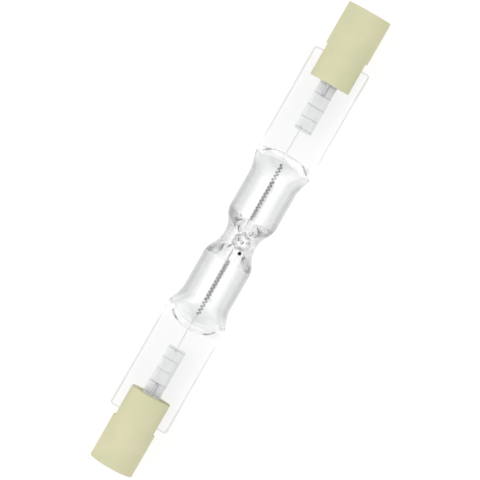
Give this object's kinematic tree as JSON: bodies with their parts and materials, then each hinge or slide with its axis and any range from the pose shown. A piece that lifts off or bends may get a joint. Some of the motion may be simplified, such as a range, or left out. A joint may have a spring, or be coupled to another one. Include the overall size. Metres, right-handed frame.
{
  "type": "linear halogen bulb",
  "caption": "Slim double-ended halogen bulb: waisted quartz tube with coiled filament, flat foil seals and a slotted ceramic cap on each end.",
  "frame": {"origin": "middle of the lamp, on its long axis", "axes": "+X along the lamp towards the right-hand cap, +Z square to the flat seals on the side of the exhaust tip, +Y across the flat seals"},
  "size_m": [0.0782, 0.0096, 0.0078],
  "materials": {
    "quartz": "clear fused quartz, smooth",
    "tungsten": "dull dark grey metal",
    "lead_wire": "drawn wire, satin",
    "molybdenum_foil": "satin foil",
    "cement": "matte, fine-grained",
    "cap_ceramic": "unglazed, matte, pale yellow",
    "contact_nickel": "turned nickel, satin"
  },
  "bodies": {
    "root": {"quartz_envelope": "quartz", "filament": "tungsten", "inner_lead_right": "lead_wire", "inner_lead_left": "lead_wire", "foil_right": "molybdenum_foil", "foil_left": "molybdenum_foil", "outer_lead_right": "lead_wire", "outer_lead_left": "lead_wire", "cement_right": "cement", "cement_left": "cement", "cap_right": "cap_ceramic", "cap_left": "cap_ceramic", "contact_right": "contact_nickel", "contact_left": "contact_nickel"}
  },
  "joints": []
}
